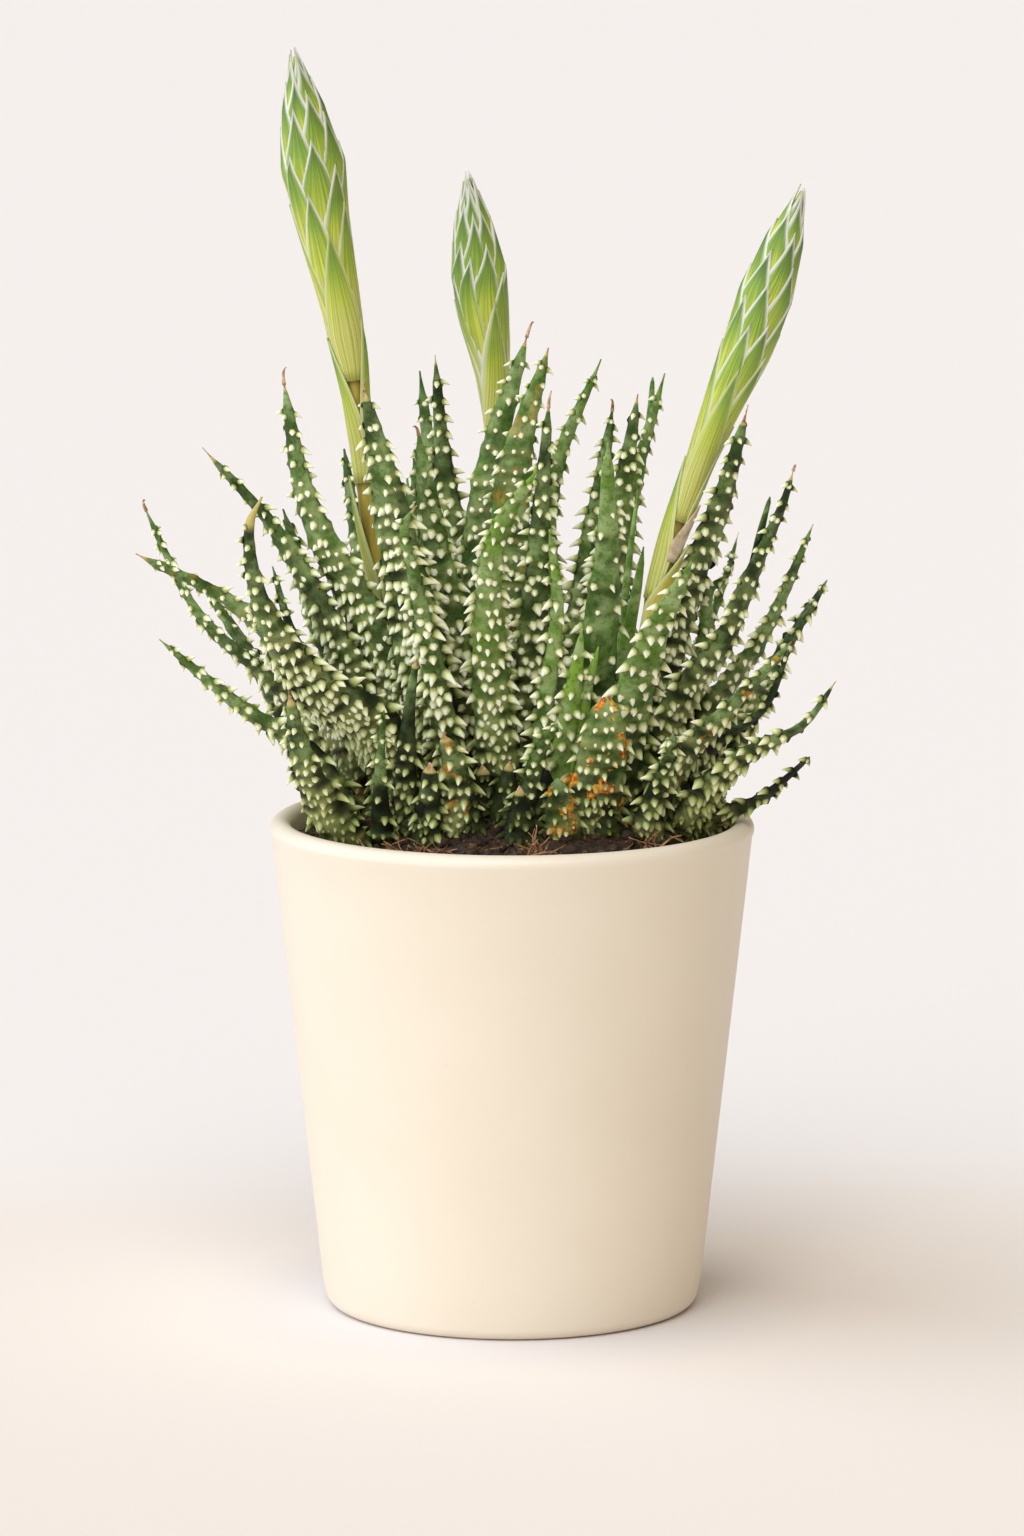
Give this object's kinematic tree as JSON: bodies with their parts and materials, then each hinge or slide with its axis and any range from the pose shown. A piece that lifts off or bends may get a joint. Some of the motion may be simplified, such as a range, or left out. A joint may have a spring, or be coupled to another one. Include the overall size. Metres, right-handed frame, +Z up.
{
  "type": "potted spider aloe",
  "caption": "Clump of narrow upright succulent leaves set with soft pale teeth, with budding flower spikes, growing in a plain tapered cream pot filled with soil.",
  "frame": {"origin": "middle of the pot's flat bottom, where it stands", "axes": "+Z up the pot and the plant; -Y is the front, as pictured; +X to the right seen from the front"},
  "size_m": [0.171, 0.14, 0.3135],
  "materials": {
    "pot": "smooth satin cream",
    "soil": "loose dark peat with dry root fibres",
    "crown": "short toothed leaf bases on fleshy stems",
    "leaf": "matt blue-green skin with pale cream soft teeth and dry brown tips",
    "stalk": "smooth golden olive stem",
    "bract": "overlapping papery yellow-green bracts with pale margins"
  },
  "bodies": {
    "root": {"pot": "pot", "soil": "soil", "crown": "crown", "spike_left_stalk": "stalk", "spike_left_bracts": "bract", "spike_centre_stalk": "stalk", "spike_centre_bracts": "bract", "spike_right_stalk": "stalk", "spike_right_bracts": "bract", "leaf_left_upper": "leaf", "leaf_left_blunt": "leaf", "leaf_left_low": "leaf", "leaf_left_broad": "leaf", "leaf_left_thorny": "leaf", "leaf_left_tall": "leaf", "leaf_left_peak": "leaf", "leaf_left_rear": "leaf", "leaf_centre_left": "leaf", "leaf_inner_left": "leaf", "leaf_front_hooked": "leaf", "leaf_inner_tall": "leaf", "leaf_back_left_tall": "leaf", "leaf_back_left_peak": "leaf", "leaf_centre_peak": "leaf", "leaf_front_bright": "leaf", "leaf_centre_tall": "leaf", "leaf_centre_dark": "leaf", "leaf_back_right_tall": "leaf", "leaf_front_narrow": "leaf", "leaf_front_smooth": "leaf", "leaf_inner_right": "leaf", "leaf_right_straight": "leaf", "leaf_back_right_split": "leaf", "leaf_inner_thin": "leaf", "leaf_right_peak": "leaf", "leaf_right_smooth": "leaf", "leaf_back_right_low": "leaf", "leaf_back_right_edge": "leaf", "leaf_right_long": "leaf", "leaf_right_outer": "leaf", "leaf_right_broad": "leaf", "leaf_right_dark": "leaf", "leaf_right_low": "leaf", "leaf_right_rim": "leaf", "leaf_front_toothed": "leaf", "leaf_young_pair": "leaf", "leaf_stub_flecked": "leaf", "leaf_front_bent": "leaf", "leaf_front_blade": "leaf", "leaf_front_brown": "leaf", "leaf_stub_broken": "leaf", "leaf_stub_dry": "leaf", "leaf_stub_front": "leaf", "leaf_rear_left": "leaf", "leaf_rear_centre_left": "leaf", "leaf_rear_centre": "leaf", "leaf_rear_centre_right": "leaf", "leaf_rear_left_edge": "leaf", "leaf_rear_right_edge": "leaf", "leaf_rear_low": "leaf"}
  },
  "joints": []
}
